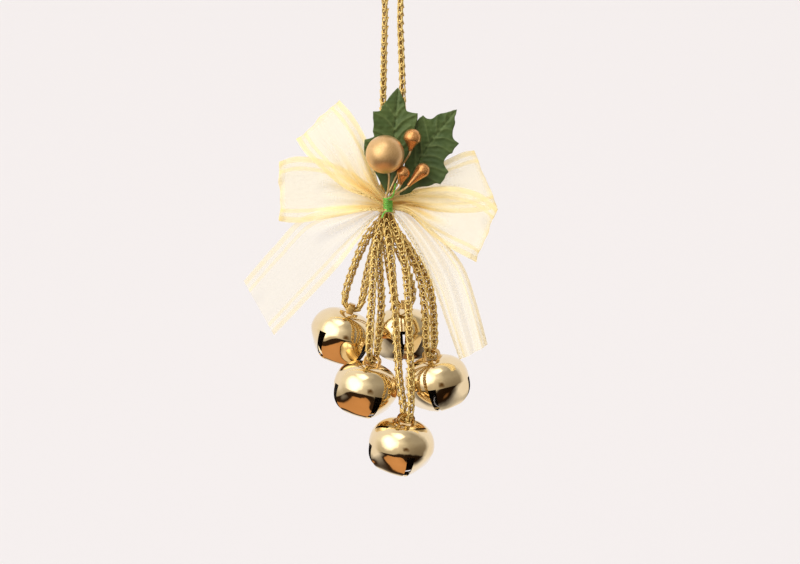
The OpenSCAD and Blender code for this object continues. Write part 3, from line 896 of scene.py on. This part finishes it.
# ---- Leaves ----------------------------------------------------------------
def leaf_mesh(name, outline, front_y, midrib, veins, cup, seed):
    """A pressed cloth leaf in the XZ plane. The outline is (x, z, 1 for a spine's
    point); veins start on the midrib; height grows towards the viewer."""
    tips = [i for i, p in enumerate(outline) if p[2]]
    loop = []
    for i, j in zip(tips, tips[1:] + [tips[0] + len(outline)]):
        run = np.array([outline[k % len(outline)][:2] for k in range(i, j + 1)], float)
        if len(run) > 2:
            pts = smooth_line(run, 0.45)
        else:
            # an edge between two points hangs in slightly
            pts = respaced(run, 0.45)
            f = np.linspace(0, 1, len(pts))
            d = pts[-1] - pts[0]
            pts = pts + (np.sin(math.pi * f) * 0.06)[:, None] * np.array([d[1], -d[0]])
        loop += list(map(tuple, pts[:-1]))
    count = len(loop)
    edge = np.array(loop)
    low, high = edge.min(0), edge.max(0)
    # points inside, in staggered rows
    inner = []
    pitch, margin = 0.42, 0.28
    z, row = low[1], 0
    while z < high[1]:
        x = low[0] + (row % 2) * pitch / 2
        while x < high[0]:
            crossings = 0
            for k in range(count):
                (x1, z1), (x2, z2) = loop[k], loop[(k + 1) % count]
                if (z1 > z) != (z2 > z) and x < (x2 - x1) * (z - z1) / (z2 - z1) + x1:
                    crossings += 1
            if crossings % 2 and np.min(np.hypot(*(edge - (x, z)).T)) > margin:
                inner.append((x, z))
            x += pitch
        z += pitch * 0.87
        row += 1
    flat = [Vector(p) for p in loop + inner]
    edges = [(k, (k + 1) % count) for k in range(count)]
    points, _, faces, *_ = delaunay_2d_cdt(flat, edges, [], 1, 1e-5)
    p = np.array([tuple(v) for v in points])

    def to_line(line):
        best, along = np.full(len(p), 1e9), np.zeros(len(p))
        total = lengths_along(line)
        for k in range(len(line) - 1):
            a, b = line[k], line[k + 1]
            d = b - a
            t = np.clip(((p - a) @ d) / (d @ d), 0, 1)
            far = np.linalg.norm(p - a - t[:, None] * d, axis=1)
            nearer = far < best
            best = np.where(nearer, far, best)
            along = np.where(nearer, (total[k] + t * (total[k + 1] - total[k])) / total[-1], along)
        return best, along

    rib, rib_along = to_line(smooth_line(midrib, 0.6))
    height = cup * (rib / 9) ** 1.5 + 0.5 * np.sin(rib_along * 7 + seed) * (rib / 8)
    height += -0.55 * np.exp(-(rib / 0.55) ** 2)
    shade = 0.55 * np.exp(-(np.maximum(rib - 0.55, 0) / 0.35) ** 2) * (rib > 0.3)
    for vein in veins:
        far, t = to_line(smooth_line(vein, 0.5))
        width = 0.5 * (1 - 0.45 * t)
        height += 0.30 * np.exp(-(far / width) ** 2) * (1 - 0.5 * t)
        height -= 0.22 * np.exp(-((far - 1.2) / 0.7) ** 2)
        shade = np.maximum(shade, 0.75 * np.exp(-(far / (0.7 * width)) ** 2) * (1 - 0.4 * t))
    height += 0.05 * np.sin(p[:, 0] * 2.1 + 1.3 * np.sin(p[:, 1] * 1.7)) + 0.04 * np.sin(p[:, 1] * 3.3)
    obj = make(name, np.stack([p[:, 0], front_y - height, p[:, 1]], 1), faces)
    turn_outward(obj.data, to_front=True)
    paint_mask(obj, "vein", np.clip(shade, 0, 1))
    thick = obj.modifiers.new("cloth", "SOLIDIFY")
    thick.thickness, thick.offset = 0.35 * MM, -1
    return obj


UPPER_OUTLINE = [
    (2, -49.5, 1), (-0.2, -51.6, 0), (-2, -54, 0), (-4, -56.5, 0), (-4.7, -58.2, 0), (-7.6, -58.6, 1),
    (-7.5, -61.5, 0), (-7.3, -63.8, 0), (-7.7, -66.2, 1), (-7.2, -68.2, 0), (-10.8, -69.3, 1),
    (-11.0, -72, 0), (-10.9, -74.9, 1), (-8.9, -78.5, 0), (-6.7, -82, 0), (-2.8, -89.3, 1),
    (-0.8, -89.3, 1),
    (3.2, -81, 0), (6.2, -73.4, 0), (7.4, -67.4, 0), (9.2, -62, 0), (9.5, -59.3, 1), (7.2, -59, 0),
    (5.3, -58.4, 0), (4.4, -54.8, 0)]
RIGHT_OUTLINE = [
    (11.5, -60, 1), (13, -61.2, 0), (15, -61.3, 0), (17.2, -59.7, 0), (20.5, -58.9, 0), (24.4, -57.8, 1),
    (23.6, -61.2, 0), (23.8, -62.9, 0), (22.9, -66.1, 0), (23.1, -68.8, 0), (25.3, -70.8, 1),
    (23.4, -72.8, 0), (22.7, -74.5, 1), (21.1, -75.2, 0), (19.4, -78.2, 0), (21.3, -81.7, 1),
    (20.2, -82.9, 0), (19.8, -84, 0),
    (18.1, -86.4, 1), (16.4, -86, 0), (13.5, -87.1, 0), (11, -87.3, 0), (8.6, -87.9, 0), (6, -90, 0),
    (2.7, -90.5, 1), (3.2, -84.7, 0), (4.7, -78, 0), (6.9, -69.8, 0), (9.4, -62, 0)]
upper = leaf_mesh(
    "upper_leaf_cloth", UPPER_OUTLINE, -7.5,
    [(-1.6, -89), (-0.4, -78), (0.5, -68), (1.2, -58), (2, -49.8)],
    [[(-0.9, -82), (-4, -78), (-10.5, -74.5)], [(-0.1, -76), (-4, -72.5), (-10.4, -69.6)],
     [(0.3, -71), (-3, -67.5), (-7.4, -65.8)], [(0.7, -65.5), (-2.5, -61.5), (-7.2, -59)],
     [(1, -60.5), (-1.2, -57.5), (-3, -55.5)], [(-0.1, -76.5), (2.5, -73), (5.2, -70.5)],
     [(0.4, -70.5), (3.5, -66.5), (6.6, -64)], [(0.8, -65.5), (4, -62), (9, -59.6)],
     [(1.1, -60), (2.8, -57.5), (4.4, -56.2)]], 0.7, 3)
finish_piece(upper, "root", "leaf", LEAF, "upper_leaf")
right = leaf_mesh(
    "right_leaf_cloth", RIGHT_OUTLINE, -6.3,
    [(3.4, -90), (8.2, -80.5), (12.5, -73), (18, -65.5), (24, -58.2)],
    [[(6.8, -83), (11, -82.5), (17.8, -86)], [(8.6, -79.8), (14, -79.6), (20.8, -81.6)],
     [(11, -75.6), (15, -75.4), (19.5, -77)], [(13.2, -72), (17.5, -71.6), (22.3, -74.2)],
     [(15.5, -68.8), (19.5, -68.6), (24.8, -70.6)], [(18, -65.6), (20.5, -65), (22.8, -65.8)],
     [(8.8, -79), (8.6, -75), (8.4, -71.5)], [(11.2, -75), (10.6, -70), (9.8, -65.5)],
     [(13.8, -71), (13, -66), (11.7, -60.8)], [(17, -67), (16.6, -63.5), (16.9, -60.6)],
     [(20.2, -63), (20, -61), (20.3, -59.6)]], 0.6, 5)
finish_piece(right, "root", "leaf", LEAF, "right_leaf")


# ---- Ribbons ---------------------------------------------------------------
RIBBON_W = 24.0
ACROSS = 49


class Leg:
    """One run of ribbon from the knot outwards. rungs are cross lines in mm:
    (top edge's x and z), (bottom edge's x and z), y, half depth of the loop.
    pleats are waves across the width, height their limit at both ends."""

    def __init__(self, rungs, pleats, height, phase, steps):
        # f is 0 at the knot and 1 at the outer end
        rows = np.array([[*a, *b, y, h] for a, b, y, h in rungs], float)
        line = smooth_line(rows, 0.5)
        f = np.linspace(0, 1, steps)
        g = np.linspace(0, 1, len(line))
        self.rows = np.stack([np.interp(f, g, line[:, k]) for k in range(6)], 1)
        self.f, self.pleats, self.height, self.phase = f, pleats, height, phase

    def surface(self, side, shift=0.0):
        """Points of the front (side -1), back (side 1) or single (side 0) layer."""
        v = np.linspace(0, 1, ACROSS)
        top, low = self.rows[:, None, 0:2], self.rows[:, None, 2:4]
        xz = top + (low - top) * v[None, :, None]
        f = self.f[:, None]
        chord = np.linalg.norm(self.rows[:, 0:2] - self.rows[:, 2:4], axis=1)[:, None]
        wave = 0
        for k, n in enumerate(self.pleats):
            bend = 0.25 * math.sin(1.7 * k + self.phase) * f
            turn = 2 * math.pi * (n * (v[None] + bend)) + self.phase + 2.1 * k + shift
            wave = wave + np.sin(turn) / (1 + 0.6 * k)
        # the folds are as deep as the ribbon's width needs, up to a limit
        small, large = np.zeros_like(f), np.interp(f, (0, 0.12, 1), (0.35, *self.height))
        step, rise = chord / (ACROSS - 1), np.diff(wave, axis=1)
        for _ in range(18):
            size = (small + large) / 2
            wide = np.hypot(step, size * rise).sum(1, keepdims=True) > RIBBON_W
            small, large = np.where(wide, small, size), np.where(wide, size, large)
        y = self.rows[:, 4:5] + size * wave
        if side:
            y = y + side * self.rows[:, 5:6] * (1 + 0.15 * np.sin(2 * math.pi * v[None] + self.phase))
        sag = np.sin(math.pi * v[None]) * np.sin(math.pi * np.clip(f, 0, 1))
        points = np.stack([xz[..., 0], np.broadcast_to(y, xz.shape[:2]), xz[..., 1]], -1)
        points[..., 2] += 0.25 * sag * np.sin(self.phase + 5 * f)
        return points


def strip(name, runs, folds=(), shown=1.0):
    """One ribbon through a list of grids laid end to end, turned over at the
    folds. shown says how strongly its gathers show."""
    rows = np.concatenate(runs)
    along = lengths_along(rows[:, ACROSS // 2])
    v = np.linspace(-RIBBON_W / 2, RIBBON_W / 2, ACROSS)
    uv = np.stack(np.broadcast_arrays(v, along[:, None]), -1)
    parts = Parts()
    parts.grid(rows, uv=uv)
    obj = parts.object(name)
    # how much closer the threads lie than in the flat cloth
    width = np.linalg.norm(rows[:, 0] - rows[:, -1], axis=1)
    drawn = np.clip((RIBBON_W / np.maximum(width, 1.0) - 1.05) / 1.9, 0, 1)[:, None]
    # a fold's flanks show more cloth to the front than flat cloth does
    slope = np.gradient(rows[..., 1], axis=1) / (width[:, None] / (ACROSS - 1))
    drawn = drawn + 0.55 * (np.sqrt(1 + slope ** 2) - 1)
    for fold in folds:
        drawn = drawn + 0.45 * np.exp(-((along - along[fold]) / 1.6) ** 2)[:, None]
    near = np.broadcast_to(np.clip((15 - width) / 4, 0, 1)[:, None], drawn.shape)
    paint_mask(obj, "gather", np.clip(shown * drawn, 0, 1))
    paint_mask(obj, "near_knot", near)
    return obj


def bow_ribbon(name, left, right):
    """A ring of ribbon through the knot: a folded loop on each side."""
    def turn_over(leg, shift):
        front, behind = leg.surface(-1), leg.surface(1, shift)
        # the fold at the loop's outer end
        mid, half = (front[-1] + behind[-1]) / 2, (front[-1] - behind[-1]) / 2
        out = unit(front[-1] - front[-4])
        reach = np.linalg.norm(half, axis=1, keepdims=True)
        turns = np.linspace(0, math.pi, 9)[1:-1]
        fold = [mid + half * math.cos(t) + out * reach * math.sin(t) for t in turns]
        return front, np.array(fold), behind
    lf, lt, lb = turn_over(left, 0.9)
    rf, rt, rb = turn_over(right, -0.7)
    left_fold = len(lb) - 1 + len(lt) // 2
    right_fold = len(lb) + len(lt) + len(lf) + len(rf) - 3 + len(rt) // 2
    runs = [lb[:-1], lt[::-1], lf[::-1][:-1], rf[:-1], rt, rb[::-1]]
    return strip(name, runs, (left_fold, right_fold))


# Where the knot draws the ribbons together
KNOT_TOP, KNOT_LOW, KNOT_LOWEST = (-1.9, -91.5), (-1.9, -96), (-1.9, -97)
UPPER_LEFT = Leg([
    (KNOT_TOP, KNOT_LOW, -4.05, 0.3), ((-5.5, -86), (-8.5, -92), -4.6, 0.9),
    ((-7.6, -77.5), (-18, -88.2), -5.2, 1.5), ((-10.6, -68), (-27.5, -80.5), -5.8, 2.0),
    ((-16, -59), (-34, -74), -5, 1.4), ((-20.4, -54.2), (-36.8, -69.7), -4, 0.35)],
    (1.6, 3.7), (1.5, 1.3), 0.4, 90)
LOWER_RIGHT = Leg([
    (KNOT_TOP, KNOT_LOW, -4.05, 0.3), ((4, -90), (5.5, -97.6), -4.4, 0.9),
    ((14, -87.6), (14.1, -105.3), -4.4, 1.4), ((26, -87.5), (22.6, -111.3), -5, 1.8),
    ((34.5, -90.4), (28.3, -114.4), -5.6, 1.3), ((39.9, -95.5), (31.4, -116), -6, 0.35)],
    (1.7, 3.4), (1.5, 1.3), 2.2, 90)
LOWER_LEFT = Leg([
    (KNOT_TOP, KNOT_LOWEST, -2.7, 0.3), ((-8, -87), (-9, -96.5), -2.6, 0.7),
    ((-18, -80.5), (-19, -98.4), -2.6, 1.2), ((-29, -76.4), (-31, -100.6), -3, 1.7),
    ((-38, -75.8), (-38.5, -101.2), -3.8, 1.3), ((-43.3, -77.6), (-43, -100.6), -4.5, 0.35)],
    (1.4, 3.3), (1.2, 1.3), 1.1, 90)
UPPER_RIGHT = Leg([
    (KNOT_TOP, KNOT_LOWEST, -2.7, 0.3), ((5, -87), (6, -95), -2.2, 0.8),
    ((14, -80.5), (18, -97), -1.4, 1.4), ((22.5, -76), (30, -97.4), -0.6, 1.7),
    ((27.6, -73.8), (36.8, -96.4), 0, 1.2), ((30.9, -73.4), (39.9, -95.3), 0.5, 0.35)],
    (1.5, 3.6), (1.2, 1.3), 3.0, 90)
LEFT_TAIL = Leg([
    (KNOT_TOP, KNOT_LOWEST, -1.5, 0), ((-8, -94), (-6.5, -99), -1.5, 0),
    ((-20, -95.6), (-13, -107.5), -2, 0), ((-34, -98.6), (-20.4, -117.4), -3, 0),
    ((-46, -110.5), (-33, -131), -6, 0), ((-57, -123.2), (-45.4, -144), -10, 0)],
    (1.5, 3.0), (1.6, 1.6), 0.8, 120)
RIGHT_TAIL = Leg([
    (KNOT_TOP, KNOT_LOWEST, -1.5, 0), ((3.6, -94), (0.8, -99), -1.6, 0),
    ((15, -103.5), (8, -110), -2.6, 0), ((26.6, -117), (15.4, -125.2), -5, 0),
    ((31.8, -131), (20.6, -140), -8.5, 0), ((36.2, -147.5), (25.4, -153.5), -12, 0)],
    (0.62, 2.2), (1.8, 7), 2.4, 120)


def finish_ribbon(obj, node):
    finish_piece(obj, "root", "organza", ORGANZA, node)


finish_ribbon(bow_ribbon("upper_bow_ribbon", UPPER_LEFT, LOWER_RIGHT), "upper_ribbon")
finish_ribbon(bow_ribbon("lower_bow_ribbon", LOWER_LEFT, UPPER_RIGHT), "lower_ribbon")
tails = [LEFT_TAIL.surface(0)[::-1][:-1], RIGHT_TAIL.surface(0)]
finish_ribbon(strip("ribbon_tails", tails, shown=0.3), "tail_ribbon")


# ---- Studio ----------------------------------------------------------------
WALL_GLOW, ROOM_LEVEL = 0.595, 1.15
WALL = (0.90, 0.865, 0.875)
PALE = (0.90, 0.855, 0.85)

# a pale floor that curves up into a pale wall
FLOOR_FRONT, FLOOR_BACK, FLOOR_Z, COVE_R, WALL_H, ROOM_HALF_W = -260, 700, -420, 900, 1500, 2200
# shares of the sweep at which the floor ends and the wall begins
FLOOR_END, WALL_START = 0.4, 0.7
sweep = []
for t in np.linspace(0, 1, 30):
    if t < FLOOR_END:
        y, z = FLOOR_FRONT + (FLOOR_BACK - FLOOR_FRONT) * t / FLOOR_END, FLOOR_Z
    elif t < WALL_START:
        a = (t - FLOOR_END) / 0.3 * math.pi / 2
        y, z = FLOOR_BACK + COVE_R * math.sin(a), FLOOR_Z + COVE_R * (1 - math.cos(a))
    else:
        y, z = FLOOR_BACK + COVE_R, FLOOR_Z + COVE_R + WALL_H * (t - WALL_START) / 0.3
    sweep.append([(x, y, z) for x in np.linspace(-ROOM_HALF_W, ROOM_HALF_W, 12)])
parts = Parts()
parts.grid(np.array(sweep, float))
backdrop = parts.object("floor_and_wall")
n = Paint("floor_and_wall", Emission_Strength=WALL_GLOW, Roughness=0.9)
tone = n.mix(n.span(n.noise(3, 2), 0.0, 0.04), WALL, tuple(c * 0.9 for c in WALL))
backdrop.data.materials.append(n.shade(
    Base_Color=n.mix(1.0, tone, (0.35, 0.35, 0.35), "MULTIPLY"), Emission_Color=tone))
backdrop.visible_glossy = False


def softbox(name, place, aim, size, power, colour=(1, 1, 1)):
    light = bpy.data.lights.new(name, "AREA")
    light.shape, light.size, light.size_y = "RECTANGLE", size[0] * MM, size[1] * MM
    light.energy, light.color = power, colour
    obj = bpy.data.objects.new(name, light)
    scene.collection.objects.link(obj)
    obj.location = Vector(place) * MM
    obj.rotation_mode = "QUATERNION"
    obj.rotation_quaternion = (Vector(aim) - Vector(place)).to_track_quat("-Z", "Y")
    obj.visible_camera = False
    obj.visible_glossy = False


MIDDLE = (0, 0, -120)
softbox("top_softbox", (-250, -520, 460), MIDDLE, (700, 500), 5)
softbox("left_softbox", (-760, -420, 60), MIDDLE, (420, 700), 2.6)
softbox("right_softbox", (820, -360, 40), MIDDLE, (360, 700), 1.8, (1, 0.95, 0.88))

# The room that the bells mirror: a bright ceiling and window to the left, grey to
# the right, dark furniture and a wooden floor. The camera sees it plain and pale.
scene.world = bpy.data.worlds.new("studio")
room = Nodes(scene.world)


def room_ramp(value, *stops):
    """A colour ramp over -1 to 1."""
    return room.ramp(room.span(value, 0, 1, start=-1), *[((at + 1) / 2, c) for at, c in stops])


def patch(low, towards, inside, outside, colour):
    """A round soft-edged patch of the room, seen in one direction."""
    far = room.vector("DISTANCE", centred, Vector(towards).normalized(), out="Value")
    return room.mix(room_ramp(far, (inside, (1, 1, 1)), (outside, (0, 0, 0))), low, colour)


direction = room.coords("Generated")
shape = room.noise(1.7, 2, 0.5, direction).node.outputs["Color"]
centred = room.vector("SUBTRACT", room.vector("MULTIPLY_ADD", shape, (0.5, 0.5, 0.3), direction),
                      (0.25, 0.25, 0.15))
x, y, z = room.axes(centred)
heights = room_ramp(
    z, (-1, (0.60, 0.29, 0.12)), (-0.80, (0.56, 0.27, 0.11)), (-0.77, (0.03, 0.015, 0.008)),
    (-0.52, (0.03, 0.017, 0.01)), (-0.46, (0.50, 0.44, 0.36)), (-0.1, (0.66, 0.60, 0.52)),
    (0.3, (1, 0.96, 0.88)), (1, (0.8, 0.76, 0.70)))
sides = room_ramp(
    x, (-1, (0.8, 0.8, 0.8)), (-0.3, (1, 1, 1)), (0.1, (0.75, 0.74, 0.72)),
    (0.45, (0.40, 0.38, 0.36)), (1, (0.32, 0.30, 0.28)))
# a dark figure in front, and two lamps with soft covers
seen = room.mix(1.0, heights, sides, "MULTIPLY")
seen = patch(seen, (0.22, -1, -0.22), 0.10, 0.24, (0.10, 0.055, 0.02))
seen = patch(seen, (-0.75, -0.75, 0.35), 0.30, 0.62, (1.9, 1.85, 1.75))
seen = patch(seen, (-0.1, -0.5, 0.9), 0.16, 0.34, (1.9, 1.85, 1.75))
# the pale wall behind the ornament
behind = room_ramp(y, (-0.05, (0, 0, 0)), (0.35, (1, 1, 1)))
above_floor = room_ramp(z, (-0.75, (0, 0, 0)), (-0.55, (1, 1, 1)))
seen = room.mix(room.mix(1.0, behind, above_floor, "MULTIPLY"), seen, [c / ROOM_LEVEL for c in PALE])
pale, front = room.add("ShaderNodeBackground"), room.add("ShaderNodeBackground")
room.put(pale, "Color", (*PALE, 1))
room.put(front, "Strength", ROOM_LEVEL)
room.put(front, "Color", seen)
by_camera = room.add("ShaderNodeLightPath").outputs["Is Camera Ray"]
room.put(room.add("ShaderNodeOutputWorld"), "Surface",
         room.blend(by_camera, front.outputs[0], pale.outputs[0]))
